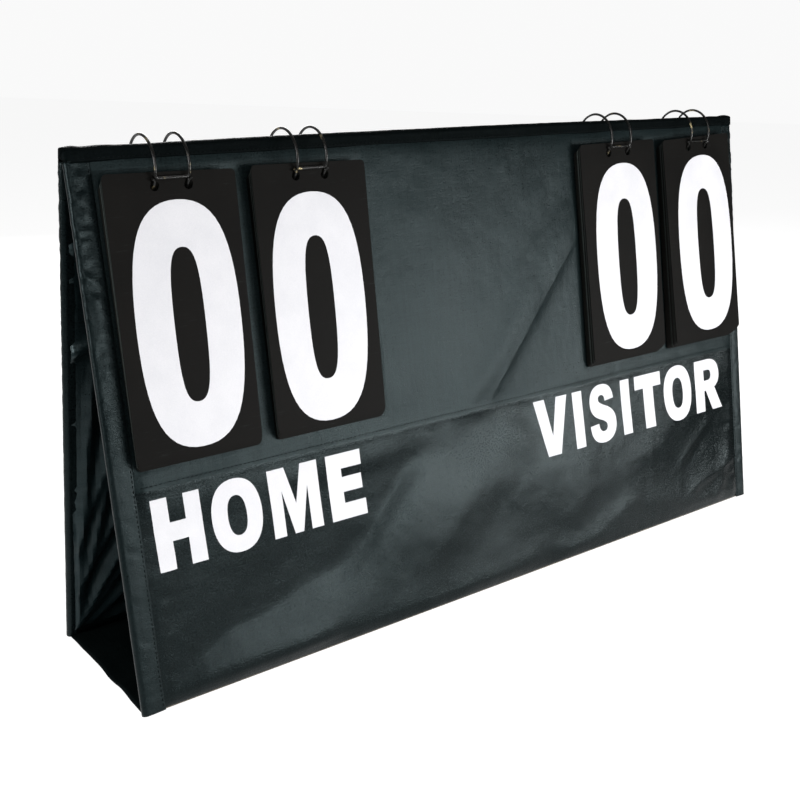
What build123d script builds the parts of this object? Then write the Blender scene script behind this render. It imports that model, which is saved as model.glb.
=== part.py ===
from build123d import *
import os
from math import asin, cos, degrees, radians, sin, sqrt, tan

# A tabletop flip scoreboard: two stiff cloth-covered panels, hinged along a cloth ridge and tied at the foot
# by a cloth base, with four stacks of number cards hung on wire loops that pass over the ridge.
# X runs along the ridge, the front panel faces -Y, Z is up, and the scoreboard stands on Z = 0.

# ---- panels ----
width = 600.0            # along the ridge, hems included
panel_len = 342.0        # slant height of a panel
foot_half = 59.0         # from the middle to a panel's inner foot when the panels are open
board_t = 2.5            # stiffener board
cloth_t = 0.5            # one layer of cover cloth
hem_w = 12.0             # side hem, across the panel
hem_t = 0.4              # how far the hem stands proud of the cover, and past the board's end
soft_gap = 0.3           # between soft pieces that move apart

# ---- ridge cap and base ----
cap_drop = 6.0           # how far the ridge cloth laps down each face
cap_t = 0.5
cap_round = 0.7
base_t = 0.6

# ---- wire loops ----
loop_r = 18.0            # centre line of a loop
wire_r = 0.9
loop_rise = 6.6          # top of the loop's centre line above the ridge cap
loop_pitch = 22.0        # between the two loops of one stack
bar_bend = 2.0           # loop into closing bar, on the wire's centre line
bar_gap = 4.1            # closing bar above the front card's holes, along the loop
foot_gap = 1.1           # start of a foot's bend above the front card's holes, along the loop
foot_bend = 2.5
foot_turn = 50.0         # degrees that a foot splays outwards
foot_tip = 1.2           # straight end of a foot

# ---- number cards ----
card_w = 86.0
card_h = 170.0
card_t = 0.5
card_corner = 3.0
card_pitch = 0.7         # from one card to the next in a stack
cards_in_stack = 10
card_standoff = 1.6      # rear card's back face above the cover
hole_r = 3.0
hole_margin = 8.0        # hole centre to the card's top edge
hang_clear = 0.12        # wire to the top of a hole as a card hangs
end_margin = 14.0        # panel's end to the outer stack's cards
stack_gap = 11.5         # between the two stacks of one side
# degrees that a stack's front card hangs out of true, less for each card behind it and none for the last
front_tilt = {"home_tens": -0.8, "home_ones": -0.6, "visitor_tens": 0.7, "visitor_ones": 2.0}

# ---- eyelets ----
eyelet_r = 4.8           # bore
eyelet_wall = 0.6
flange_r = 10.3
flange_t = 0.4
eyelet_pitch = 24.0      # between the two eyelets of one stack
front_eyelet_s = 24.8    # down the slope from the top of the panel
rear_eyelet_s = 26.5

# ---- derived ----
outer_x = width / 2 - end_margin - card_w / 2
inner_x = outer_x - card_w - stack_gap
stack_x = {"home_tens": -outer_x, "home_ones": -inner_x, "visitor_tens": inner_x, "visitor_ones": outer_x}
panel_t = board_t + 2 * cloth_t
lean = asin(foot_half / panel_len)
pivot_z = panel_len * cos(lean)
ridge_z = pivot_z + panel_t * sin(lean) + soft_gap + cap_t
loop_z = ridge_z + loop_rise - loop_r
face = Plane(
    origin=(0, -panel_t * cos(lean), pivot_z + panel_t * sin(lean)),
    x_dir=(1, 0, 0),
    z_dir=(0, -cos(lean), sin(lean)),
)


def down_and_out(y, z):
    """Distance down the front face and out from it, for a point of the cross-section."""
    at = face.to_local_coords(Vector(0, y, z))
    return -at.Y, at.Z


loop_s, loop_n = down_and_out(0, loop_z)


def slab(x0, x1, s0, s1, n0, n1):
    """Block on the front panel: x along the ridge, s down the slope, n out from the cover."""
    return face * Pos((x0 + x1) / 2, -(s0 + s1) / 2, (n0 + n1) / 2) * Box(x1 - x0, s1 - s0, n1 - n0)


def spots(pitch):
    return [x + side * pitch / 2 for x in stack_x.values() for side in (-1, 1)]


def punched(shape, s):
    """The panel layer with a bore for every eyelet."""
    for x in spots(eyelet_pitch):
        shape -= face * Pos(x, -s, 0) * Cylinder(eyelet_r + eyelet_wall, 6 * panel_t)
    return shape


def panel_layers(s):
    """Board, cover and lining of one panel, lying on each other inside the side hems."""
    end = width / 2 - hem_t
    board = punched(slab(-end, end, 0, panel_len, -cloth_t - board_t, -cloth_t), s)
    cover = punched(slab(-end, end, 0, panel_len, -cloth_t, 0), s)
    lining = punched(slab(-end, end, 0, panel_len, -panel_t, -cloth_t - board_t), s)
    return board, cover, lining


def side_hems():
    """A folded strip round each end of a panel, open towards the layers that it holds."""
    end = width / 2
    hems = []
    for side in (-1, 1):
        x0, x1 = sorted((side * end, side * (end - hem_w)))
        strip = slab(x0, x1, cap_drop + soft_gap, panel_len, -panel_t, hem_t)
        fill0, fill1 = sorted((side * (end - hem_t), side * (end - 2 * hem_w)))
        hems.append(strip - slab(fill0, fill1, 0, 2 * panel_len, -2 * panel_t, 0))
    return hems


def eyelets(s):
    """Black pressed eyelets: a barrel through the panel and a domed flange on the cover."""
    outer = eyelet_r + eyelet_wall
    profile = Polyline(
        (eyelet_r, -panel_t), (outer, -panel_t), (outer, 0), (flange_r, 0),
        (outer + (flange_r - outer) / 2, flange_t), (eyelet_r, flange_t), close=True,
    )
    ring = revolve(Plane.XZ * make_face(profile), Axis.Z)
    return [face * Pos(x, -s, 0) * ring for x in spots(eyelet_pitch)]


def ridge_cap():
    """Cloth that joins the panels over the ridge and laps down both faces."""
    def outline(out, drop):
        reach_y = face.from_local_coords(Vector(0, -drop, out))
        peak = face.from_local_coords(Vector(0, 0, out))
        top = ridge_z - cap_t + out - soft_gap
        corner = peak.Y + (top - peak.Z) * tan(lean)
        return [(reach_y.Y, reach_y.Z), (corner, top), (-corner, top), (-reach_y.Y, reach_y.Z)]

    inner, outer = outline(soft_gap, cap_drop), outline(soft_gap + cap_t, cap_drop)
    section = Plane.YZ * make_face(Polyline(*outer, *inner[::-1], close=True))
    cap = Pos(-width / 2, 0, 0) * extrude(section, width)
    shoulders = cap.edges().filter_by(Axis.X).group_by(Axis.Z)[-1]
    return fillet(shoulders, cap_round)


def base_cloth():
    """Cloth between the feet that stops the panels from spreading."""
    reach = foot_half - base_t * tan(lean) - soft_gap
    return Pos(0, 0, base_t / 2) * Box(width, 2 * reach, base_t)


def hang(k):
    """Where card k hangs: how far its middle plane is out from the cover, and its holes down the slope."""
    out = card_standoff + card_t / 2 + (cards_in_stack - 1 - k) * card_pitch
    offset = out - loop_n
    reach = sqrt(loop_r ** 2 - offset ** 2)
    slope = offset / reach
    drop = hole_r - wire_r * sqrt(1 + slope ** 2) - card_t / 2 * slope - hang_clear
    return out, loop_s + reach + drop


def card(stack, k):
    """Card k, hanging from whichever loop its tilt brings it down on, with its foot swung along the ridge."""
    out, s = hang(k)
    tilt = front_tilt[stack] * (1 - k / (cards_in_stack - 1))
    s -= loop_pitch / 2 * sin(radians(abs(tilt)))
    plate = Pos(0, hole_margin - card_h / 2, 0) * extrude(
        RectangleRounded(card_w, card_h, card_corner), card_t / 2, both=True)
    for side in (-1, 1):
        plate -= Pos(side * loop_pitch / 2, 0, 0) * Cylinder(hole_r, 2 * card_t)
    return face * Pos(stack_x[stack], -s, out) * Rot(0, 0, tilt) * plate


def on_loop(x, turn):
    """Point of a loop, in degrees round from its lowest point towards the front, and its heading there."""
    a = radians(turn)
    at = Vector(x, -loop_r * sin(a), loop_z - loop_r * cos(a))
    return at, Vector(0, -cos(a), sin(a))


def elbow(start, heading, towards, radius, turn):
    """Arc that leaves start along heading and turns towards another direction."""
    def at(a):
        return start + heading * (radius * sin(a)) + towards * (radius * (1 - cos(a)))
    return ThreePointArc(start, at(radians(turn) / 2), at(radians(turn)))


def loop_path(x, side):
    """Half of a wire form: bar corner, loop over the ridge and back through the panels and cards, splayed foot."""
    outwards = Vector(side, 0, 0)
    threads = degrees(asin((hang(0)[0] - loop_n) / loop_r) + lean)
    corner_turn = threads + degrees((bar_gap + bar_bend) / loop_r)
    foot_start = threads + degrees(foot_gap / loop_r)
    corner, heading = on_loop(x, corner_turn)
    foot, up = on_loop(x, foot_start)
    far, _ = on_loop(x, (corner_turn + foot_start) / 2 + 180)
    bend = elbow(corner, -heading, -outwards, bar_bend, 90)
    splay = elbow(foot, up, outwards, foot_bend, foot_turn)
    tip = Line(splay @ 1, splay @ 1 + (splay % 1) * foot_tip)
    return bend, ThreePointArc(corner, far, foot), splay, tip


def loops(x):
    """One length of wire: two parallel loops through a stack's holes and both panels, closed by a bar in front."""
    left, right = (loop_path(x + side * loop_pitch / 2, side) for side in (-1, 1))
    bar = Line(left[0] @ 1, right[0] @ 1)
    path = Wire([e.edge() for e in (*left, bar, *right)])
    return sweep(Plane(origin=path @ 0, z_dir=path % 0) * Circle(wire_r), path=path)


def to_rear(shapes):
    return [Rot(0, 0, 180) * s for s in shapes]


os.makedirs("parts", exist_ok=True)


def write(name, *shapes):
    solids = [s for shape in shapes for s in shape.solids()]
    export_step(solids[0] if len(solids) == 1 else Compound(children=solids), f"parts/{name}.step")


board, cover, lining = panel_layers(front_eyelet_s)
write("front_board", board)
write("front_cover", cover)
write("front_lining", lining)
write("front_hems", *side_hems())
write("front_eyelets", *eyelets(front_eyelet_s))

board, cover, lining = to_rear(panel_layers(rear_eyelet_s))
write("rear_board", board)
write("rear_cover", cover)
write("rear_lining", lining)
write("rear_hems", *to_rear(side_hems()))
write("rear_eyelets", *to_rear(eyelets(rear_eyelet_s)))

write("ridge_cap", ridge_cap())
write("base_cloth", base_cloth())

for stack, x in stack_x.items():
    write(f"loops_{stack}", loops(x))
    for k in range(cards_in_stack):
        write(f"card_{stack}_{k}", card(stack, k))
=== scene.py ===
import bpy, bmesh
from math import asin, atan2, cos, exp, pi, radians, sin, sqrt
from mathutils import Matrix, Quaternion, Vector, noise
from mathutils.bvhtree import BVHTree


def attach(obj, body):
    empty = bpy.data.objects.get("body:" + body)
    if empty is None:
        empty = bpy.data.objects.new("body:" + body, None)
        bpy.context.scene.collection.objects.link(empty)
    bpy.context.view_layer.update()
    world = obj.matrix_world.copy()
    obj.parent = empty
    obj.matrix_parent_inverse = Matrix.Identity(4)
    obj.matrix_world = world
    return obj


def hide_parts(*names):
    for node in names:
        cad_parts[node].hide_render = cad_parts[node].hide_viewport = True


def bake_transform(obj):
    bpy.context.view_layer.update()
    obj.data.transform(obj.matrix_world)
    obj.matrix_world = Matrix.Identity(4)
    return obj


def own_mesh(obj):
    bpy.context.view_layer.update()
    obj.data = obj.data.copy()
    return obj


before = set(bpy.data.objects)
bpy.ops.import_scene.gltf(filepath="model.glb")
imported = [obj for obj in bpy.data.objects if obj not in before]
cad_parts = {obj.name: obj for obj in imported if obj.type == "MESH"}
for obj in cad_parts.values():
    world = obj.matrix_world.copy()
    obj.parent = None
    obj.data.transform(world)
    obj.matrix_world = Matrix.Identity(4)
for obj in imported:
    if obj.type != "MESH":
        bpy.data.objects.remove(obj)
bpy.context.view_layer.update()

# ---- View ----
# The scoreboard stands on a plain pale floor and is looked at from its home end, a little above the ridge.
# Two low panels on the visitor side put the sheen on the cloth; softer ones light it from all other sides.
eye, aim, roll = Vector((-0.53859, -0.62255, 0.40058)), Vector((-0.05837, 0, 0.14337)), radians(0.731)
camera = bpy.data.objects.new("view", bpy.data.cameras.new("view"))
camera.data.sensor_width, camera.data.lens = 36, 49.81
camera.data.clip_start = 0.02
camera.rotation_mode = "QUATERNION"
camera.location = eye
camera.rotation_quaternion = (aim - eye).to_track_quat("-Z", "Y") @ Quaternion((0, 0, 1), roll)
bpy.context.scene.collection.objects.link(camera)
bpy.context.scene.camera = camera
bpy.context.scene.view_settings.view_transform = "Standard"

studio = bpy.data.worlds.new("studio")
studio.use_nodes = True
room = studio.node_tree
ambient = room.nodes["Background"]
ambient.inputs["Color"].default_value = (1, 1, 1, 1)
ambient.inputs["Strength"].default_value = 0.10
backdrop = room.nodes.new("ShaderNodeBackground")
backdrop.inputs["Color"].default_value = (0.95, 0.95, 0.95, 1)
seen = room.nodes.new("ShaderNodeLightPath")
pick = room.nodes.new("ShaderNodeMixShader")
room.links.new(seen.outputs["Is Camera Ray"], pick.inputs["Fac"])
room.links.new(ambient.outputs["Background"], pick.inputs[1])
room.links.new(backdrop.outputs["Background"], pick.inputs[2])
room.links.new(pick.outputs["Shader"], room.nodes["World Output"].inputs["Surface"])
bpy.context.scene.world = studio


def soft_light(name, place, towards, across, power):
    """A rectangular lamp that faces a point; across gives its width and height."""
    lamp = bpy.data.lights.new(name, "AREA")
    lamp.shape, lamp.size, lamp.size_y, lamp.energy = "RECTANGLE", across[0], across[1], power
    light = bpy.data.objects.new(name, lamp)
    light.location = place
    light.rotation_euler = (Vector(towards) - Vector(place)).to_track_quat("-Z", "Y").to_euler()
    bpy.context.scene.collection.objects.link(light)


soft_light("sheen", (0.54, -0.86, 0.32), (0, 0, 0.2), (0.50, 0.16), 4.1)
soft_light("low_strip", (0.48, -1.0, 0.09), (0, 0, 0.13), (1.1, 0.09), 11.4)
soft_light("front", (-0.55, -1.45, 0.95), (0, 0, 0.16), (0.7, 0.5), 8.4)
soft_light("overhead", (0.1, 0.2, 1.7), (0, 0, 0.2), (1.6, 1.0), 8)
soft_light("side", (-1.2, -0.12, 0.40), (-0.2, 0, 0.14), (0.4, 0.3), 9)
soft_light("behind", (0.5, 1.3, 0.7), (0, 0, 0.16), (0.8, 0.5), 14)

# the floor begins at a corner on the viewer's side, below what the view shows
floor_half, near_corner, floor_turn = 3, (-0.28, -0.53, -0.0006), radians(33.7)
from_corner = Matrix.Rotation(floor_turn, 4, "Z") @ Matrix.Translation((floor_half, floor_half, 0))
bm = bmesh.new()
bmesh.ops.create_grid(bm, x_segments=1, y_segments=1, size=floor_half,
                      matrix=Matrix.Translation(near_corner) @ from_corner)
mesh = bpy.data.meshes.new("floor")
bm.to_mesh(mesh)
bm.free()
floor = bpy.data.objects.new("floor", mesh)
bpy.context.scene.collection.objects.link(floor)
pale = bpy.data.materials.new("pale_floor")
pale.use_nodes = True
paint = pale.node_tree.nodes["Principled BSDF"].inputs
paint["Base Color"].default_value = (0.35, 0.35, 0.35, 1)
paint["Roughness"].default_value = 0.9
paint["Emission Color"].default_value = (1, 1, 1, 1)
paint["Emission Strength"].default_value = 0.89
mesh.materials.append(pale)


# ---- Front cover ----
# Black satin nylon is drawn over the stiffener board, round its foot, and sewn under the side hems. It is
# cut in two, and the upper cut laps the lower one along a level seam that shows as a low ridge.
# Pull from the stitching leaves long folds out of the foot corner and one crease across the middle.
panel_t, panel_len, foot_half, half_width = 0.0035, 0.342, 0.059, 0.300
cover_t, cover_top, foot_turn, seam_s, thread_pitch = 0.0003, 0.0035, 0.0007, 0.2025, 0.0009
cover_length = panel_len + cover_t - cover_top + panel_t - foot_turn
lean = asin(foot_half / panel_len)
face = Matrix((
    (1, 0, 0, 0),
    (0, sin(lean), -cos(lean), -panel_t * cos(lean)),
    (0, cos(lean), sin(lean), panel_len * cos(lean) + panel_t * sin(lean)),
    (0, 0, 0, 1),
))
to_face = face.inverted()
outward = Vector((0, -cos(lean), sin(lean)))
half_turn = Matrix.Rotation(pi, 4, "Z")
rear_face = half_turn @ face
# brings the top edge of a grid one unit high down to the origin
hung = Matrix.Translation((0, -0.5, 0))


class Value:
    """A shader socket in arithmetic: each operator adds the Math node that does it."""

    def __init__(self, finish, socket):
        self.finish, self.socket = finish, socket

    def op(self, kind, *values):
        return self.finish.add("ShaderNodeMath", {"operation": kind}, dict(enumerate(values)))

    def __add__(self, other):
        return self.op("ADD", self, other)

    def __sub__(self, other):
        return self.op("SUBTRACT", self, other)

    def __rsub__(self, other):
        return self.op("SUBTRACT", other, self)

    def __mul__(self, other):
        return self.op("MULTIPLY", self, other)

    __radd__, __rmul__ = __add__, __mul__

    def sine(self):
        return self.op("SINE", self)

    def size(self):
        return self.op("ABSOLUTE", self)

    def between(self, low, high):
        """0 below low, 1 above high and a smooth step in between."""
        return self.finish.add("ShaderNodeMapRange", {"interpolation_type": "SMOOTHSTEP"},
                               {"Value": self, "From Min": low, "From Max": high})


class Finish:
    """A surface finish: one shader, and the nodes that vary it."""

    def __init__(self, name, sockets):
        self.material = bpy.data.materials.new(name)
        self.material.use_nodes = True
        self.tree = self.material.node_tree
        self.shader = self.tree.nodes["Principled BSDF"]
        self.feed(self.shader, sockets)

    def add(self, kind, settings={}, sockets={}, out=0):
        """Makes a node from its settings and sockets, and gives its output as a Value."""
        node = self.tree.nodes.new(kind)
        for key, value in settings.items():
            setattr(node, key, value)
        self.feed(node, sockets)
        return Value(self, node.outputs[out])

    def feed(self, node, sockets):
        """Links a node's sockets to Values, and sets the others."""
        for key, value in sockets.items():
            if isinstance(value, Value):
                self.tree.links.new(value.socket, node.inputs[key])
            else:
                node.inputs[key].default_value = value

    def place(self):
        """The object's own coordinates, in metres."""
        return self.add("ShaderNodeTexCoord", {}, {}, 3)

    def noise(self, place, stretch, detail=3.0, rough=0.5):
        """Noise over place, stretched to so many cycles a metre along each axis."""
        spread = self.add("ShaderNodeVectorMath", {"operation": "MULTIPLY"}, {0: place, 1: stretch})
        sockets = {"Vector": spread, "Scale": 1.0, "Detail": detail, "Roughness": rough}
        return self.add("ShaderNodeTexNoise", {}, sockets)

    def blend(self, amount, first, second):
        """Colour that goes from first to second with amount."""
        return self.add("ShaderNodeMix", {"data_type": "RGBA"}, {0: amount, 6: first, 7: second}, 2)

    def relief(self, height, distance, strength=1.0, under=None):
        """Bump of height times distance, over another relief where under gives one."""
        sockets = {"Height": height, "Distance": distance, "Strength": strength}
        if under:
            sockets["Normal"] = under
        return self.add("ShaderNodeBump", {}, sockets)


def nylon(name, dark, light, rough, seam=None, shade=1.0, drape=None, gloss=0.12):
    """Woven nylon, by the cut's own measure: threads, slubs both ways and a satin sheen that drifts. Past a
    seam the cloth is smoother and keeps only a share of its colour, shade: painted shade for the lower cut,
    which hangs facing down. The attribute that drape names holds the cloth's bagging in millimetres."""
    finish = Finish(name, {"Specular IOR Level": gloss, "Specular Tint": (0.76, 0.97, 1.0, 1)})
    cut = finish.add("ShaderNodeUVMap", {"uv_map": "cut"})
    across = finish.add("ShaderNodeSeparateXYZ", {}, {0: cut}, 0)
    down = finish.add("ShaderNodeSeparateXYZ", {}, {0: cut}, 1)
    turns = 2 * pi / thread_pitch
    weave = (across * turns).sine() * (down * turns).sine()
    slub = finish.noise(cut, (420, 14, 1), 4) * 0.6 + finish.noise(cut, (22, 600, 1), 3) * 0.4
    drift = finish.noise(cut, (9, 7, 1), 3)
    fleck = finish.noise(cut, (850, 850, 1), 3, 0.7)
    tone = (slub * 0.5 + drift * 0.25 + fleck * 0.75 + weave * 0.06).between(0.52, 0.96)
    colour = finish.blend(tone, dark, light)
    roughness = drift * 0.14 + fleck * 0.46 + (rough - 0.30)
    if seam is not None:
        # painted shade: past the seam the colour is darkened toward black, for the lower cut that hangs
        # facing down
        below = down.between(seam - 0.0004, seam + 0.0004)
        colour = finish.blend(below * (1 - shade), colour, (0, 0, 0, 1))
        roughness = roughness - below * 0.09
    grain = finish.relief(weave * 0.08 + slub * 1.0 + fleck * 2.4, 0.00012, 0.6)
    soft = finish.relief(finish.noise(cut, (38, 30, 1), 3), 0.0016, 0.7, grain)
    if drape:
        bagging = finish.add("ShaderNodeAttribute", {"attribute_name": drape}, {}, 2)
        soft = finish.relief(bagging, 0.001, 1.0, soft)
    finish.feed(finish.shader, {"Base Color": colour, "Roughness": roughness, "Normal": soft})
    return finish.material


# folds are in millimetres: from (x, s) to (x, s), where s is down the panel, then the width on the right of
# that way, the width on its left, as seen from outside the cloth, and the height
front_folds = (
    ((105, 70), (-17, 196), 12, 9, 0.6), ((98, 70), (-20, 196), 14, 26, 0.9),
    ((90, 60), (50, 92), 6, 14, 0.3), ((88, 16), (30, 120), 16, 16, 0.45),
    ((-40, 60), (-96, 190), 20, 26, 0.45), ((60, 150), (20, 202), 10, 16, 0.5),
    ((-290, 354), (-170, 336), 9, 16, 2.4), ((-176, 338), (-46, 262), 34, 26, 1.3),
    ((-292, 300), (-262, 236), 8, 8, 0.9), ((-140, 350), (30, 340), 8, 14, 1.6),
    ((60, 345), (150, 312), 12, 12, 1.2), ((214, 292), (252, 262), 4, 7, 0.9),
    ((226, 320), (296, 300), 5, 9, 1.1), ((70, 300), (200, 262), 18, 22, 0.9),
    ((292, 345), (170, 318), 12, 10, 1.2), ((-120, 262), (60, 268), 24, 20, 0.6),
    ((-292, 150), (-286, 205), 4, 4, 0.7), ((288, 262), (262, 330), 8, 8, 0.8),
    ((20, 222), (-60, 300), 16, 20, 0.6),
)
# the long crease across the upper cut
crease_start, crease_end = (110, 74), (-4, 200)


def wave(*at):
    """Smooth noise, from -1 to 1, at a point given in wavelengths."""
    return noise.noise(Vector(at))


def step(value, low, high):
    """0 below low, 1 above high and a smooth step in between."""
    value = min(1.0, max(0.0, (value - low) / (high - low)))
    return value * value * (3 - 2 * value)


def beside(x, s, start, end):
    """Where x and s lie by the way from start to end: the share of it gone, and how far off to its left."""
    ax, ay = end[0] - start[0], end[1] - start[1]
    dx, dy = x - start[0], s - start[1]
    return (dx * ax + dy * ay) / (ax * ax + ay * ay), (dx * ay - dy * ax) / sqrt(ax * ax + ay * ay)


def fold_height(x, s, folds):
    """Millimetres that the folds lift the cloth at x and s, which are in millimetres too."""
    total = 0.0
    for start, end, right, left, high in folds:
        along, off = beside(x, s, start, end)
        if -0.3 < along < 1.3:
            off += min(right, left) * 0.4 * wave(start[0] * 0.1, end[1] * 0.1, along * 3)
            fade = exp(-max(0.0, abs(along - 0.5) - 0.38) ** 2 * 30)
            total += high * fade * exp(-abs(off / (right if off < 0 else left)) ** 1.6)
    return total


def gather(x, s, inner, seed):
    """Short ripples that the side stitching pulls into the cloth, dying out away from the hem."""
    off = inner - abs(x)
    if off > 40:
        return 0.0
    ripple = wave(s / 9.0, seed, off / 26.0) + 0.6 * wave(s / 4.5, seed + 7, off / 14.0)
    return 0.75 * ripple * exp(-max(0.0, off) / 12.0)


def front_swell(x, s):
    """How far the front cover stands off its board's own plane, in metres."""
    x, s = x * 1000, s * 1000
    high = 0.25 + fold_height(x, s, front_folds) + gather(x, s, 289, 3.0)
    high += 0.45 * wave(x / 62, s / 48, 0.3) + 0.10 * wave(x / 20, s / 26, 5.1)
    high += (0.35 + 0.9 * max(0.0, wave(x / 60, 0.0, 8.8))) * (1 - exp(-s / 7))
    past_seam = s - seam_s * 1000
    if past_seam < 0:
        high += 0.8 * exp(past_seam / 1.6)
    else:
        pull = 0.8 * min(1.0, past_seam / 30) * wave((x + s) / 58, (s - x) / 120, 4.4)
        high += 0.7 * exp(-past_seam / 5.0) + pull
    behind_cards = 100 < abs(x) < 291 and 14 < s < 190
    if behind_cards:
        high = 0.45 * high / max(0.45, abs(high))
    inside = min(1.0, max(0.0, (290 - abs(x)) / 7))
    return max(-0.12, min(high, 3.2) * inside) / 1000


def slack(x, s):
    """Broad bagging of the front cover's relief, in millimetres: it turns the sheen, not the shape."""
    x, s = x * 1000, s * 1000
    # the lower cut sinks from the seam to a drag line that climbs from the home foot, and bellies out below
    drag = 335 - 27 * step(x, -292, -228) - 16 * step(x, -228, -150) - 62 * step(x, -156, -66)
    off = (s - drag) * 0.9
    belly = 4.8 * (1 - exp(-max(0.0, off + 12) / 34)) * step(off, -16, 14)
    sink = 0.0765 * (min(s, drag - 4) - 205)
    home = 1 - step(x, -90, -20)
    below = max(0.0, s - 208)
    high = home * (belly - sink) + (1 - home) * 0.014 * below
    # towards the visitor end it turns away, and along the foot it curls in
    high += 0.012 * below * step(x, 150, 285) - 10.0 * step(x, 120, 330) * step(s, 205, 290)
    curl = 0.010 * max(0.0, s - 324) ** 2 * (1 - 0.8 * exp(-((x + 60) / 90) ** 2))
    high -= curl * (1 - step(x, 20, 120))
    # the upper cut drops along its crease and is drawn in under the ridge
    along, off = beside(x, s, crease_start, crease_end)
    off = max(0.0, off)
    ends = step(along, -0.1, 0.2) * (1 - step(along, 0.9, 1.05))
    drop = 3.2 * (1 - exp(-off / 13)) * exp(-off / 60) * ends
    shoulder = (1.2 + 1.6 * wave(x / 45, 0.0, 17.2)) * exp(-max(0.0, s - 4) / 5)
    creases = 0.5 * fold_height(x, s, front_folds[1:3])
    return high * step(s, 205, 232) - drop - max(0.0, shoulder) + creases


def lay_out(bm, place_on_cut):
    """Gives each point of a cloth its place on the flat cut, in metres."""
    measure = bm.loops.layers.uv.new("cut")
    for f in bm.faces:
        for loop in f.loops:
            loop[measure].uv = place_on_cut(loop.vert.co)


def cloth_panel(swell, cells):
    """Cloth over one face of a board: a fine grid, bent round the board's foot and lifted by its folds."""
    bm = bmesh.new()
    bmesh.ops.create_grid(bm, x_segments=cells[0], y_segments=cells[1], size=0.5, matrix=hung)
    for vert in bm.verts:
        vert.co = (vert.co.x * 2 * half_width, cover_top - vert.co.y * cover_length, 0)
    lay_out(bm, lambda co: co.xy)
    edge = panel_len + cover_t - foot_turn
    for vert in bm.verts:
        x, s = vert.co.x, vert.co.y
        past = s - edge
        if past <= 0:
            vert.co = (x, -s, swell(x, s) * min(1.0, (edge - s) / 0.008))
        elif past < foot_turn * pi / 2:
            a = past / foot_turn
            vert.co = (x, -edge - foot_turn * sin(a), foot_turn * (cos(a) - 1))
        else:
            vert.co = (x, -edge - foot_turn, -foot_turn - (past - foot_turn * pi / 2))
    return bm


def finished(bm, name, material, place=Matrix.Identity(4), thick=0.0, smooth=True):
    """Turns a bmesh into a piece in its place, with its material and, for cloth, its thickness."""
    bmesh.ops.transform(bm, matrix=place, verts=bm.verts)
    mesh = bpy.data.meshes.new(name)
    bm.to_mesh(mesh)
    bm.free()
    mesh.polygons.foreach_set("use_smooth", [smooth] * len(mesh.polygons))
    mesh.materials.append(material)
    piece = bpy.data.objects.new(name, mesh)
    bpy.context.scene.collection.objects.link(piece)
    if thick:
        wall = piece.modifiers.new("thickness", "SOLIDIFY")
        wall.thickness, wall.offset = thick, -1
    return piece


satin_dark, satin_light = (0.0012, 0.0026, 0.0028, 1), (0.0085, 0.0138, 0.0146, 1)
satin = nylon("satin_nylon", satin_dark, satin_light, 0.34, seam_s, 0.38, "drape")
front_cells = (270, 156)
bm = cloth_panel(front_swell, front_cells)
drape = bm.verts.layers.float.new("drape")
for vert in bm.verts:
    vert[drape] = slack(vert.co.x, -vert.co.y)
front_cover = finished(bm, "front_cover_cloth", satin, face, cover_t)
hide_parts("front_cover")
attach(front_cover, "front")


# ---- Team words ----
# HOME and VISITOR are screened on the lower cut in a heavy white ink that follows the cloth, and each word
# leans a little with it. Letters are drawn in millimetres: M starts a contour, L is a line, C a curve.
letters = {
    "H": "M 0 0 L 11 0 L 11 18 L 22 18 L 22 0 L 33 0 L 33 46.4 L 22 46.4 L 22 30 L 11 30 L 11 46.4 "
         "L 0 46.4 Z",
    "O": "M 18 47.6 C 29.8 47.6 36 38.6 36 23.2 C 36 7.8 29.8 -1.2 18 -1.2 C 6.2 -1.2 0 7.8 0 23.2 "
         "C 0 38.6 6.2 47.6 18 47.6 Z M 18 36.6 C 22.2 36.6 24.8 32.4 24.8 23.2 "
         "C 24.8 14 22.2 10 18 10 C 13.8 10 11.2 14 11.2 23.2 C 11.2 32.4 13.8 36.6 18 36.6 Z",
    "M": "M 0 0 L 9.2 0 L 9.2 31 L 16 0 L 22.6 0 L 29.4 31 L 29.4 0 L 38.6 0 L 38.6 46.4 L 25.6 46.4 "
         "L 19.3 20.4 L 13 46.4 L 0 46.4 Z",
    "E": "M 0 0 L 28.6 0 L 28.6 11.2 L 11.6 11.2 L 11.6 19 L 27.2 19 L 27.2 29.6 L 11.6 29.6 "
         "L 11.6 35.6 L 28.2 35.6 L 28.2 46.4 L 0 46.4 Z",
    "V": "M 11.2 0 L 25 0 L 36.2 46.4 L 24.6 46.4 L 18.1 15.6 L 11.6 46.4 L 0 46.4 Z",
    "I": "M 0 0 L 10.6 0 L 10.6 46.4 L 0 46.4 Z",
    "S": "M 29.8 34 L 19.4 33.2 C 19.1 37.2 17.6 38.6 15 38.6 C 12.9 38.6 11.5 37.4 11.5 35.6 "
         "C 11.5 33 13.7 31.6 19.2 29.4 C 28 26 31.4 21.6 31.4 14.4 C 31.4 5 25.2 -1.2 15.6 -1.2 "
         "C 5.8 -1.2 0.4 3.8 0 14.6 L 10.4 15.4 C 10.8 10.2 12.5 8.2 15.8 8.2 "
         "C 18.8 8.2 20.4 9.8 20.4 12.2 C 20.4 15 18.4 16.4 12.7 18.6 C 4.1 22 1.2 26.4 1.2 33.4 "
         "C 1.2 42 6.4 47.6 15.2 47.6 C 24.2 47.6 29.1 43.2 29.8 34 Z",
    "T": "M 10.2 0 L 22.4 0 L 22.4 34.8 L 32.4 34.8 L 32.4 46.4 L 0 46.4 L 0 34.8 L 10.2 34.8 Z",
    "R": "M 0 0 L 12 0 L 12 18.5 L 14 18.5 L 22.5 0 L 35.6 0 L 26 20.2 C 30.6 22.4 33.2 26.6 33.2 32.4 "
         "C 33.2 41.6 27.6 46.4 17.4 46.4 L 0 46.4 Z M 12 27.6 L 12 37 L 16.6 37 "
         "C 20 37 21.8 35.6 21.8 32.4 C 21.8 29 20 27.6 16.6 27.6 Z",
}
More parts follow.
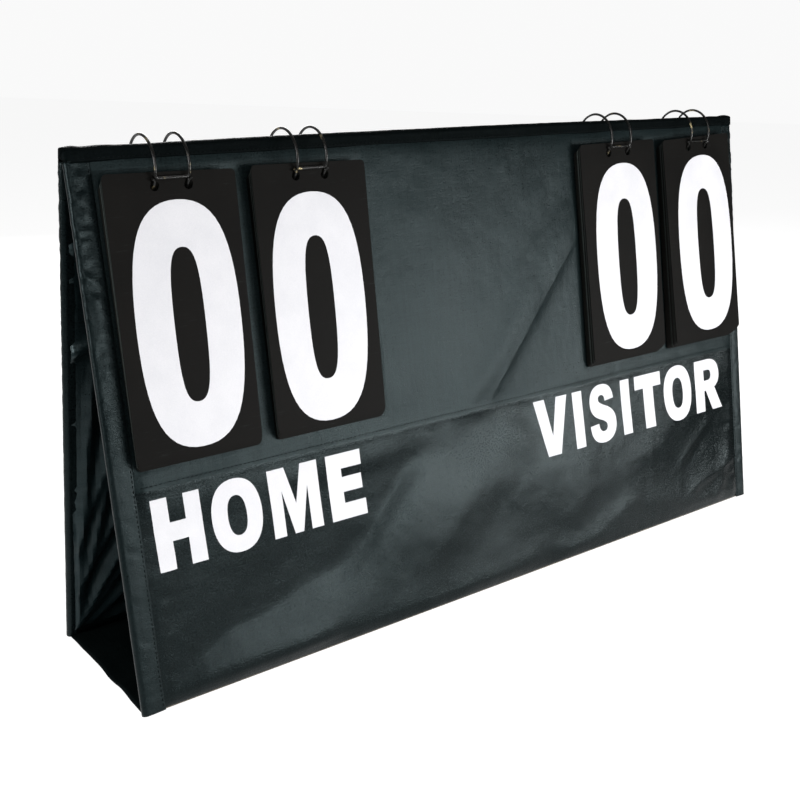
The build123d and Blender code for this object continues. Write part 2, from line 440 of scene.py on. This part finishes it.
cap_h, ink_t = 0.0464, 0.00006


def glyph(path):
    """Filled outline from pen strokes in millimetres, where Z closes a contour."""
    outline = bpy.data.curves.new("outline", "CURVE")
    outline.dimensions, outline.fill_mode, outline.resolution_u = "2D", "BOTH", 14
    for contour in path.split("M")[1:]:
        pen = contour.replace("Z", "").split()
        knots = [[None, Vector((float(pen[0]), float(pen[1]))), None]]
        at = 2
        while at < len(pen):
            count = 2 if pen[at] == "L" else 6
            values = [float(v) for v in pen[at + 1:at + 1 + count]]
            points = [Vector(values[i:i + 2]) for i in range(0, count, 2)]
            if count == 6:
                knots[-1][2] = points[0]
                knots.append([points[1], points[2], None])
            else:
                knots.append([None, points[0], None])
            at += 1 + count
        if (knots[-1][1] - knots[0][1]).length < 1e-6:
            knots[0][0] = knots.pop()[0]
        spline = outline.splines.new("BEZIER")
        spline.bezier_points.add(len(knots) - 1)
        spline.use_cyclic_u = True
        for point, (before, knot, after) in zip(spline.bezier_points, knots):
            point.handle_left_type = point.handle_right_type = "FREE"
            point.co = (*knot / 1000, 0)
            point.handle_left = (*(before or knot) / 1000, 0)
            point.handle_right = (*(after or knot) / 1000, 0)
    holder = bpy.data.objects.new("outline", outline)
    bpy.context.scene.collection.objects.link(holder)
    bpy.context.view_layer.update()
    flat = bpy.data.meshes.new_from_object(holder.evaluated_get(bpy.context.evaluated_depsgraph_get()))
    bm = bmesh.new()
    bm.from_mesh(flat)
    bpy.data.objects.remove(holder)
    bpy.data.curves.remove(outline)
    bpy.data.meshes.remove(flat)
    bmesh.ops.remove_doubles(bm, verts=bm.verts, dist=1e-6)
    bmesh.ops.reverse_faces(bm, faces=[f for f in bm.faces if f.normal.z < 0])
    return bm


def stencil(bm, thick):
    """Gives a flat outline the thickness of its ink, standing on its own plane."""
    rest = bmesh.ops.extrude_face_region(bm, geom=bm.faces[:])
    top = [v for v in rest["geom"] if isinstance(v, bmesh.types.BMVert)]
    bmesh.ops.translate(bm, verts=top, vec=(0, 0, thick))
    bmesh.ops.recalc_face_normals(bm, faces=bm.faces)


def add_to(whole, bm):
    """Moves all of bm into the bmesh whole."""
    spare = bpy.data.meshes.new("spare")
    bm.to_mesh(spare)
    bm.free()
    whole.from_mesh(spare)
    bpy.data.meshes.remove(spare)


ground = BVHTree.FromObject(front_cover, bpy.context.evaluated_depsgraph_get())
grid_step = (2 * half_width / front_cells[0], cover_length / front_cells[1])


def lay_on_cover(bm, lift):
    """Cuts a flat outline along the cover's own grid and lays it on the cloth, in the face's measures."""
    xs, ys = [v.co.x for v in bm.verts], [v.co.y for v in bm.verts]
    columns = (0, min(xs), max(xs), -half_width, grid_step[0])
    rows = (1, min(ys), max(ys), -cover_top, -grid_step[1])
    for axis, low, high, start, spacing in (columns, rows):
        for i in range(2, front_cells[0]):
            at = start + i * spacing
            if low < at < high:
                cut, normal = [0.0, 0.0, 0.0], [0, 0, 0]
                cut[axis], normal[axis] = at, 1
                every = bm.verts[:] + bm.edges[:] + bm.faces[:]
                bmesh.ops.bisect_plane(bm, geom=every, dist=1e-6, plane_co=cut, plane_no=normal)
    for vert in bm.verts:
        above = face @ Vector((vert.co.x, vert.co.y, 0.02))
        hit = ground.ray_cast(above, -outward, 0.05)[0]
        vert.co.z = (to_face @ hit).z + lift


ink = Finish("white_ink", {"Specular IOR Level": 0.35})
spot = ink.place()
milky = ink.noise(spot, (45, 45, 45), 4)
speck = ink.noise(spot, (1600, 1600, 1600), 2)
ink_tone = (milky * 0.6 + speck * 0.5).between(0.3, 0.8)
ink.feed(ink.shader, {
    "Base Color": ink.blend(ink_tone, (0.53, 0.53, 0.555, 1), (0.61, 0.605, 0.625, 1)),
    "Roughness": milky * 0.12 + 0.42,
    "Normal": ink.relief(speck, 0.00006, 0.3),
})
# each word: its cap line down the panel, its slant, and each letter's left side
words = (
    (0.2091, 0.031, (("H", -0.2809), ("O", -0.2417), ("M", -0.1988), ("E", -0.1530))),
    (0.2074, 0.043, (("V", 0.0405), ("I", 0.0827), ("S", 0.1006), ("I", 0.1398), ("T", 0.1572),
                     ("O", 0.1930), ("R", 0.2348))),
)
whole = bmesh.new()
for cap_line, slant, signs in words:
    for sign, x in signs:
        bm = glyph(letters[sign])
        for vert in bm.verts:
            depth = cap_h - vert.co.y
            vert.co = (x + vert.co.x + slant * depth, -cap_line - depth, 0)
        lay_on_cover(bm, 0.00004)
        stencil(bm, ink_t)
        add_to(whole, bm)
lettering = finished(whole, "team_words", ink.material, face, smooth=False)
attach(lettering, "front")


# ---- Linings, rear cover and boards ----
# The rear panel is covered like the front, in one cut. Both panels are lined inside with a thinner, duller
# nylon that is only caught at its edges, so it bags and drags in creases out of the foot corners.
# The stiffeners are sheets of grey pulp board, held between the two cloths.
dull_dark, dull_light, lining_t = (0.0010, 0.0026, 0.0030, 1), (0.0065, 0.0125, 0.0140, 1), 0.0002
dull = nylon("lining_nylon", dull_dark, dull_light, 0.36, drape="drape", gloss=0.26)
rear_folds = (
    ((-280, 325), (-120, 230), 14, 14, 0.9), ((285, 330), (120, 250), 14, 14, 0.9),
    ((-60, 30), (70, 210), 20, 20, 0.5), ((210, 80), (120, 230), 18, 18, 0.5),
    ((-230, 60), (-150, 200), 18, 18, 0.5), ((0, 300), (180, 330), 9, 9, 0.8),
)
lining_folds = (
    ((-297, 334), (-222, 214), 3, 7, 3.4), ((-298, 328), (-262, 176), 3, 6, 3.0),
    ((-295, 337), (-190, 262), 3, 8, 3.4), ((-298, 318), (-282, 130), 3, 5, 2.6),
    ((-299, 128), (-248, 104), 3, 6, 2.6), ((-292, 338), (-140, 306), 4, 9, 2.8),
    ((-297, 306), (-232, 186), 3, 5, 2.6), ((-296, 270), (-258, 150), 3, 5, 2.2),
    ((-294, 330), (-240, 268), 3, 5, 2.4), ((-240, 40), (-200, 150), 12, 12, 1.2),
    ((-298, 60), (-262, 22), 5, 5, 1.4), ((-100, 60), (0, 300), 16, 16, 1.0),
    ((296, 337), (214, 205), 6, 6, 2.4), ((297, 330), (256, 168), 6, 6, 2.0),
    ((294, 339), (176, 270), 7, 7, 2.2), ((120, 300), (200, 120), 14, 14, 1.2),
)


def rear_swell(x, s):
    """How far the rear cover stands off its board's own plane, in metres."""
    x, s = x * 1000, s * 1000
    high = fold_height(x, s, rear_folds) + gather(x, s, 289, 11.0)
    high += 0.35 * wave(x / 80, s / 60, 9.3) + 0.10 * wave(x / 25, s / 30, 2.1)
    inside = min(1.0, max(0.0, (290 - abs(x)) / 7))
    return max(-0.12, min(high, 1.9) * inside) / 1000


def lining_swell(x, s, seed):
    """How far a lining stands off its board's own plane, in metres. Each lining has its own seed."""
    x, s = x * 1000, s * 1000
    high = 0.35 + fold_height(x, s, lining_folds) + 1.6 * gather(x, s, 291, seed)
    high += 0.55 * wave(x / 50, s / 45, seed) + 0.2 * wave(x / 16, s / 20, seed)
    calm = min(1.0, max(0.0, (s - 6) / 60), max(0.0, (342 - s) / 9))
    turned_under = step(abs(x), 280, 289) * (1 - step(abs(x), 295, 299))
    return max(-0.1, 1.25 * turned_under, min(high, 4.0) * calm) / 1000


rear_satin = nylon("rear_satin_nylon", satin_dark, satin_light, 0.33)
bm = cloth_panel(rear_swell, (200, 115))
rear_cover = finished(bm, "rear_cover_cloth", rear_satin, rear_face, cover_t)
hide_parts("rear_cover")
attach(rear_cover, "rear")

lining_half, lining_top, lining_len = half_width - 0.0008, 0.002, panel_len - 0.0018
for side, at, seed in (("front", face, 21.0), ("rear", rear_face, 27.0)):
    inward = at @ Matrix.Translation((0, 0, -panel_t)) @ Matrix.Rotation(pi, 4, "Y")
    bm = bmesh.new()
    bmesh.ops.create_grid(bm, x_segments=190, y_segments=112, size=0.5, matrix=hung)
    drape = bm.verts.layers.float.new("drape")
    for vert in bm.verts:
        x, s = vert.co.x * 2 * lining_half, lining_top - vert.co.y * lining_len
        vert.co = (x, -s, lining_swell(x, s, seed))
        vert[drape] = 0.9 * fold_height(x * 1000, s * 1000, lining_folds)
    lay_out(bm, lambda co: (co.x, -co.y))
    lining = finished(bm, side + "_lining_cloth", dull, inward, lining_t)
    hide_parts(side + "_lining")
    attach(lining, side)
    into = inward.to_3x3() @ Vector((0, 0, 1))
    tuple(inward @ Vector((0, -0.2, 0)))
    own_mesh(lining)

grey = Finish("grey_board", {"Specular IOR Level": 0.3})
spot = grey.place()
fibre = grey.noise(spot, (900, 300, 300), 5, 0.7)
pulp = grey.noise(spot, (120, 120, 120), 4)
board_tone = (fibre * 0.6 + pulp * 0.5).between(0.3, 0.8)
grey.feed(grey.shader, {
    "Base Color": grey.blend(board_tone, (0.16, 0.14, 0.11, 1), (0.30, 0.26, 0.20, 1)),
    "Roughness": pulp * 0.1 + 0.82,
    "Normal": grey.relief(fibre, 0.0002, 0.5),
})


def dress(name, finish):
    """Gives a piece of the CAD its finish."""
    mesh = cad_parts[name].data
    mesh.materials.clear()
    mesh.materials.append(finish.material)


for name in ("front_board", "rear_board"):
    dress(name, grey)


# ---- Side hems ----
# The cover is turned over each end of the board and topstitched through both cloths, 12 mm in. The
# stitching is drawn tight, so the turned cloth puckers all the way down, most of all near the ridge.
hem_w, hem_proud = 0.012, 0.0006
bound = nylon("hem_nylon", (0.0006, 0.0014, 0.0016, 1), (0.0050, 0.0086, 0.0092, 1), 0.33, gloss=0.11)


def hem(end, seed, slip):
    """A turned hem at the -x or +x end, in the face's measures: a strip carried round the board's end. The
    roll itself stands slip past the end."""
    half = (panel_t + 2 * hem_proud) / 2
    flat, arc = hem_w - half, pi * half
    girth = 2 * flat + arc
    first_s, last_s = 0.0055, panel_len + 0.0003
    bm = bmesh.new()
    beside_end = Matrix.Translation((0.5, -0.5, 0))
    bmesh.ops.create_grid(bm, x_segments=30, y_segments=190, size=0.5, matrix=beside_end)
    lay_out(bm, lambda co: (co.x * girth, first_s - co.y * (last_s - first_s)))
    for vert in bm.verts:
        t, s = vert.co.x * girth, first_s - vert.co.y * (last_s - first_s)
        if t < flat:
            at, out = Vector((half_width - hem_w + t, hem_proud)), Vector((0, 1))
        elif t < flat + arc:
            a = (t - flat) / half
            out = Vector((sin(a), cos(a)))
            at = Vector((half_width - half, -panel_t / 2)) + out * half
        else:
            at = Vector((half_width - half - (t - flat - arc), -panel_t - hem_proud))
            out = Vector((0, -1))
        near = min(t, girth - t)
        loose = min(1.0, max(0.0, near - 0.0020) / 0.0040)
        drawn = 0.22 + 0.78 * exp(-(s / 0.12) ** 2)
        mm_s, mm_t = s * 1000, t * 1000
        pucker = wave(mm_s / 5.5 + mm_t * 0.06, mm_t / 9.0, seed)
        pucker += 0.7 * wave(mm_s / 2.8 - mm_t * 0.1, mm_t / 7.0, seed + 4)
        play = 1 - 0.65 * exp(-((t - girth / 2) / 0.004) ** 2) if t < girth / 2 else 0.15
        lift = loose * (0.0005 + 0.0013 * drawn * play * pucker) - 0.00025 * (near < 0.0012)
        at += out * max(lift, -0.00035)
        at.x += slip * step(at.x, half_width - hem_w, half_width - 0.004)
        vert.co = (end * at.x, -s, at.y)
    if end < 0:
        bmesh.ops.reverse_faces(bm, faces=bm.faces)
    return bm


# for each side: its place, then the seed and the slip of its hem at the -x end and at the +x end
side_hems = (("front", face, (31.0, 0.0028), (38.0, 0.0)), ("rear", rear_face, (47.0, 0.0), (52.0, 0.0031)))
for side, at, first, second in side_hems:
    both = hem(-1, *first)
    add_to(both, hem(1, *second))
    hems = finished(both, side + "_turned_hems", bound, at, cover_t)
    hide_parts(side + "_hems")
    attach(hems, side)


# ---- Ridge cloth ----
# One strip of the same nylon is the hinge. It laps 6 mm down both faces, is sewn through both panels and
# has its ends tucked in, which leaves a small hard roll at each end.
ridge_top, lap, ridge_proud, ridge_len, ridge_shift = 0.33828, 0.0061, 0.0009, 0.6064, 0.0014
# how much of the strip's length is flat cloth, and the share of its width that bends over the ridge
ridge_cut, bent = 0.604, 0.52
lap_end, lap_start = face @ Vector((0, -lap, ridge_proud)), face @ Vector((0, -0.0002, ridge_proud))
low, high = Vector((abs(lap_end.y), lap_end.z)), Vector((abs(lap_start.y), lap_start.z))
reach = 2 * (lap + high.x)
core = Vector((0, 0.3339))
bm = bmesh.new()
bmesh.ops.create_grid(bm, x_segments=300, y_segments=22, size=0.5)
lay_out(bm, lambda co: (co.x * ridge_cut, co.y * reach))
# u runs from one lapped edge to the other; its bent middle goes over the ridge, the rest lies on the faces
for vert in bm.verts:
    u, x = vert.co.y * 2, vert.co.x * ridge_len - ridge_shift
    side = -1 if u < 0 else 1
    q = abs(u)
    if q > bent:
        at = high.lerp(low, (q - bent) / (1 - bent))
    else:
        a = q / bent * pi / 2
        crown = 0.0007 * step(x, 0.30, 0.24) + 0.0013 * exp(-((x + 0.05) / 0.2) ** 4)
        at = Vector((high.x * sin(a) ** 0.8, high.y + (ridge_top - high.y + 0.0002 + crown) * cos(a)))
    mm = x * 1000
    ripple = 0.35 * wave(mm / 26, u, 61) + 0.18 * wave(mm / 7, u * 2, 65)
    ragged = 0.0006 * wave(mm / 34, side, 71) * (q > 0.98)
    roll = 0.0010 * exp(-((abs(mm) - 297) / 4.5) ** 2) + 0.0005 * exp(-((abs(mm) - 281) / 8) ** 2)
    lift = max(-0.1, ripple) / 1000 * (0.4 + 0.6 * (1 - q)) + roll * (1 - 0.5 * q)
    at = at + (at - core).normalized() * lift + Vector((0, ragged))
    tucked = max(0.0, abs(x + ridge_shift) - 0.3012) / 0.002
    close = sqrt(max(0.0, 1 - min(1.0, tucked) ** 2))
    at = core + (at - core) * max(0.02, close)
    vert.co = (x, side * at.x, at.y)
# painted shade: the ridge strip's colour is about a quarter of the cover's, for the cloth that turns up
# over the ridge away from the light
ridge_shaded_nylon = nylon("ridge_nylon_shaded", (0.0003, 0.0006, 0.0006, 1), (0.0020, 0.0032, 0.0034, 1), 0.50, gloss=0.02)
ridge = finished(bm, "ridge_cloth", ridge_shaded_nylon, thick=cover_t)
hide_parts("ridge_cap")
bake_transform(ridge)


# ---- Base cloth ----
# A plain strip of lining nylon ties the two feet together and stops the panels from spreading. It lies on
# the table, slack; the real strip crumples up between the panels as they close, but here it keeps its shape
# and moves with the front panel.
base_len, base_w, base_shift = 0.6010, 0.1186, 0.0015
bm = bmesh.new()
bmesh.ops.create_grid(bm, x_segments=200, y_segments=38, size=0.5)
for vert in bm.verts:
    vert.co = (vert.co.x * base_len - base_shift, vert.co.y * base_w, 0)
lay_out(bm, lambda co: co.xy)
for vert in bm.verts:
    x, y = vert.co.x * 1000, vert.co.y * 1000
    loose = 1 - (abs(y) / (base_w * 500)) ** 4
    end = exp(-(299 - abs(x)) / 25)
    waves = 0.8 * wave(x / 34, y / 22, 81) + 0.5 * wave(x / 13, y / 16, 83)
    waves += 1.1 * max(0.0, wave((x - 1.3 * y) / 26, y / 60, 87))
    vert.co.z = 0.0003 + loose * max(0.0, 0.5 + waves + 0.8 * end * waves) / 1000
# painted shade: the strip is darker than the lining nylon it is cut from, for where it lies between the
# panels
base_shaded_nylon = nylon("base_nylon_shaded", (0.0003, 0.0009, 0.0008, 1), (0.0026, 0.0044, 0.0044, 1), 0.42)
base = finished(bm, "base_tie_cloth", base_shaded_nylon, thick=lining_t)
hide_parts("base_cloth")
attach(base, "front")
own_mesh(base)


# ---- Stitching ----
# Black polyester lockstitch, 3 mm long, holds the lap seam, the hems and the ridge cloth. Each stitch dips
# into the cloth at both ends, so the rows read as fine dotted lines.
thread = Finish("black_thread", {"Specular IOR Level": 0.03})
spot = thread.place()
ply = thread.noise(spot, (2600, 2600, 2600), 2)
wear = thread.noise(spot, (90, 90, 90), 3)
thread_tone = (ply * 0.6 + wear * 0.5).between(0.3, 0.8)
thread.feed(thread.shader, {
    "Base Color": thread.blend(thread_tone, (0.0008, 0.0014, 0.0014, 1), (0.0060, 0.0085, 0.0090, 1)),
    "Roughness": wear * 0.2 + 0.55,
    "Normal": thread.relief(ply, 0.00008, 0.5),
})
pitch, stitch_l, stitch_r, stitch_proud, on_ridge = 0.0031, 0.0024, 0.00028, 0.00012, 0.00125
hem_row, ridge_row, seam_row = half_width - hem_w + 0.0016, 0.0044, seam_s - 0.0022


def row(bm, start, end, lift):
    """Stitches from start to end in a face's (x, s); lift gives the cloth's height there."""
    start, end = Vector(start), Vector(end)
    count = round((end - start).length / pitch)
    heading = (end - start).normalized()
    turn = Matrix.Rotation(-atan2(heading.y, heading.x), 4, "Z")
    size = Matrix.Diagonal((stitch_l / 2, stitch_r, stitch_r * 0.9, 1))
    for i in range(count):
        at = start.lerp(end, (i + 0.5) / count)
        seat = Matrix.Translation((at.x, -at.y, lift(at.x, at.y)))
        bmesh.ops.create_icosphere(bm, subdivisions=1, radius=1.0, matrix=seat @ turn @ size)


for side, at in (("front", face), ("rear", rear_face)):
    bm = bmesh.new()
    for x in (-hem_row, hem_row):
        row(bm, (x, 0.010), (x, panel_len - 0.002), lambda x, s: hem_proud + stitch_proud)
    row(bm, (-0.297, ridge_row), (0.297, ridge_row), lambda x, s: on_ridge)
    if side == "front":
        row(bm, (-0.286, seam_row), (0.286, seam_row), lambda x, s: front_swell(x, s) + stitch_proud)
    stitches = finished(bm, side + "_stitching", thread.material, at)
    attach(stitches, side)


# ---- Cards ----
# Each number card is a stiff black plastic sheet, lightly grained, with rounded corners and two holes. The
# numeral is screened in white, heavy and narrow: a card's own number faces out, and the next number is on
# its back, so that the board also reads from behind once a card has gone over the ridge.
stacks = ("home_tens", "home_ones", "visitor_tens", "visitor_ones")
plastic = Finish("card_plastic", {"Specular IOR Level": 0.04})
spot = plastic.place()
grain = plastic.noise(spot, (1900, 1900, 1900), 2)
cloudy = plastic.noise(spot, (24, 24, 24), 4)
scuff = plastic.noise(spot, (60, 60, 900), 5, 0.65).between(0.60, 0.78)
# painted highlight: the cards' edges are lightened in bands that change from card to card, for glints along
# the stack's side; faint scuffs on the faces share the same light colour
normal = plastic.add("ShaderNodeTexCoord", {}, {}, 1)
broad_side = plastic.add("ShaderNodeSeparateXYZ", {}, {0: normal}, 1).size().between(0.80, 0.97)
depth = plastic.add("ShaderNodeVectorMath", {"operation": "DOT_PRODUCT"}, {0: spot, 1: outward}, 1)
layers = plastic.add("ShaderNodeCombineXYZ", {}, {0: depth})
edge_glint = plastic.noise(layers, (520, 1, 1), 2).between(0.50, 0.66) * 0.96 + 0.04
glinting_rim = (1 - broad_side) * edge_glint
card_tone = (cloudy * 0.8 + grain * 0.4).between(0.3, 0.9)
colour = plastic.blend(card_tone, (0.0022, 0.0021, 0.0018, 1), (0.0054, 0.0050, 0.0044, 1))
colour = plastic.blend(glinting_rim * 0.8 + scuff * 0.10, colour, (0.085, 0.105, 0.100, 1))
plastic.feed(plastic.shader, {
    "Base Color": colour,
    "Roughness": cloudy * 0.14 + grain * 0.12 + 0.40,
    "Normal": plastic.relief(grain, 0.00008, 0.35),
})

# numerals are drawn like the letters, and a 9 is a 6 turned half round
numerals = {
    "0": "M 35 150 C 60.2 150 70 129 70 75 C 70 21 60.2 0 35 0 C 9.8 0 0 21 0 75 "
         "C 0 129 9.8 150 35 150 Z M 35 122 C 43.1 122 45.4 111.8 45.4 75 C 45.4 38.2 43.1 28 35 28 "
         "C 26.9 28 24.6 38.2 24.6 75 C 24.6 111.8 26.9 122 35 122 Z",
    "1": "M 52 0 L 25 0 L 25 98 L 7 98 L 7 118 C 20 119 29 127 33 150 L 52 150 Z",
    "2": "M 2 104 C 2 134 14 150 36 150 C 58 150 70 134 70 108 C 70 84 56 68 38 46 C 34 40 32 35 31 28 "
         "L 70 28 L 70 0 L 0 0 L 0 14 C 0 38 10 56 26 74 C 38 88 44 96 44 108 C 44 118 41 123 36 123 "
         "C 30 123 27 117 27 104 Z",
    "3": "M 2 106 C 3 136 14 150 36 150 C 58 150 69 136 69 113 C 69 97 62 85 51 80 C 63 75 70 63 70 44 "
         "C 70 16 57 0 35 0 C 13 0 1 15 0 48 L 26 48 C 26 33 29 26 35 26 C 41 26 44 32 44 45 "
         "C 44 60 39 66 27 66 L 27 90 C 38 90 43 96 43 108 C 43 119 40 124 35 124 "
         "C 30 124 27 118 27 106 Z",
    "4": "M 38 0 L 64 0 L 64 28 L 72 28 L 72 53 L 64 53 L 64 150 L 36 150 L 0 52 L 0 28 L 38 28 Z "
         "M 38 53 L 22 53 L 38 102 Z",
    "5": "M 5 150 L 66 150 L 66 123 L 29 123 L 28 96 C 32 99 37 101 43 101 C 61 101 70 83 70 53 "
         "C 70 19 58 0 34 0 C 12 0 1 14 0 44 L 26 44 C 27 31 29 26 34 26 C 41 26 44 34 44 52 "
         "C 44 70 41 77 35 77 C 31 77 28 74 27 68 L 3 68 Z",
    "6": "M 68 108 C 67 136 57 150 37 150 C 12 150 0 124 0 72 C 0 24 11 0 36 0 C 58 0 70 18 70 50 "
         "C 70 80 60 96 43 96 C 36 96 30 92 26 86 C 26 113 30 124 37 124 C 41 124 43 119 43 108 Z "
         "M 35 73 C 41 73 44 66 44 49 C 44 33 41 26 35 26 C 29 26 27 33 27 49 C 27 66 29 73 35 73 Z",
    "7": "M 2 150 L 70 150 L 70 124 C 54 86 47 46 46 0 L 17 0 C 19 46 27 86 42 122 L 2 122 Z",
    "8": "M 35 150 C 57 150 68 136 68 113 C 68 98 62 86 52 80 C 64 74 70 61 70 43 C 70 16 58 0 35 0 "
         "C 12 0 0 16 0 43 C 0 61 6 74 18 80 C 8 86 2 98 2 113 C 2 136 13 150 35 150 Z M 35 125 "
         "C 29 125 27 119 27 108 C 27 96 30 90 35 90 C 40 90 43 96 43 108 C 43 119 41 125 35 125 Z "
         "M 35 68 C 29 68 26 60 26 46 C 26 32 29 25 35 25 C 41 25 44 32 44 46 C 44 60 41 68 35 68 Z",
}
numeral_w, numeral_h, card_h, below_top, print_t, print_gap = 0.070, 0.150, 0.170, 0.0175, 0.00004, 0.000008
shapes = {}
for sign in "0123456789":
    bm = glyph(numerals.get(sign, numerals["6"]))
    bmesh.ops.translate(bm, verts=bm.verts, vec=(-numeral_w / 2, -numeral_h / 2, 0))
    if sign == "9":
        bmesh.ops.transform(bm, matrix=half_turn, verts=bm.verts)
    stencil(bm, print_t)
    shapes[sign] = bpy.data.meshes.new("numeral_" + sign)
    bm.to_mesh(shapes[sign])
    bm.free()

# how far each stack's print is off the middle of its cards, in metres, and how many degrees it is turned on
# the first card; the turn dies out to none on the last
print_shift = {
    "home_tens": (0.0019, 0.0010, -0.8),
    "home_ones": (-0.0011, -0.0009, -0.6),
    "visitor_tens": (0.0030, 0.0010, 0.7),
    "visitor_ones": (0.0040, 0.0020, 2.0),
}
rise = card_h / 2 - below_top - numeral_h / 2
for stack in stacks:
    for k in range(10):
        dress(f"card_{stack}_{k}", plastic)
        local = [to_face @ v.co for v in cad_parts[f"card_{stack}_{k}"].data.vertices]
        low = Vector([min(p[i] for p in local) for i in range(3)])
        high = Vector([max(p[i] for p in local) for i in range(3)])
        right, up, turned = print_shift[stack]
        tilt = Matrix.Rotation(radians(turned * (1 - k / 9)), 4, "Z")
        prints = [(k, high.z, Matrix.Identity(4))]
        if k < 9:
            prints.append((k + 1, low.z, Matrix.Rotation(pi, 4, "Y")))
        bm = bmesh.new()
        for number, level, about in prints:
            screened = bmesh.new()
            screened.from_mesh(shapes[str(number)])
            bmesh.ops.translate(screened, verts=screened.verts, vec=(0, rise, print_gap))
            middle = Matrix.Translation(((low.x + high.x) / 2 + right, (low.y + high.y) / 2 + up, level))
            bmesh.ops.transform(screened, matrix=middle @ tilt @ about, verts=screened.verts)
            add_to(bm, screened)
        numeral = finished(bm, f"numeral_{stack}_{k}", ink.material, face, smooth=False)
        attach(numeral, f"{stack}_{k}")


# ---- Wire forms and eyelets ----
# Each stack hangs on one length of black-plated spring wire, bent into two loops that thread the cards and
# both panels. The eyelets are pressed brass, enamelled black, rubbed bright where the wire turns in them.
wire = Finish("black_wire", {"Specular IOR Level": 0.3})
spot = wire.place()
drawn = wire.noise(spot, (300, 900, 900), 3)
rub = wire.noise(spot, (140, 140, 140), 4, 0.6).between(0.58, 0.74)
wire.feed(wire.shader, {
    "Base Color": wire.blend(rub * 0.85, (0.004, 0.004, 0.0035, 1), (0.42, 0.35, 0.20, 1)),
    "Metallic": rub * 0.95,
    "Roughness": drawn * 0.14 + 0.22,
    "Normal": wire.relief(drawn, 0.00005, 0.4),
})
enamel = Finish("eyelet_enamel", {"Specular IOR Level": 0.5})
spot = enamel.place()
peel = enamel.noise(spot, (700, 700, 700), 3)
chip = enamel.noise(spot, (260, 260, 260), 5, 0.7).between(0.66, 0.72)
enamel.feed(enamel.shader, {
    "Base Color": enamel.blend(chip, (0.012, 0.012, 0.012, 1), (0.22, 0.19, 0.12, 1)),
    "Metallic": chip * 0.9,
    "Roughness": peel * 0.2 + 0.28,
    "Normal": enamel.relief(peel, 0.0001, 0.3),
})
for stack in stacks:
    dress(f"loops_{stack}", wire)
for name in ("front_eyelets", "rear_eyelets"):
    dress(name, enamel)
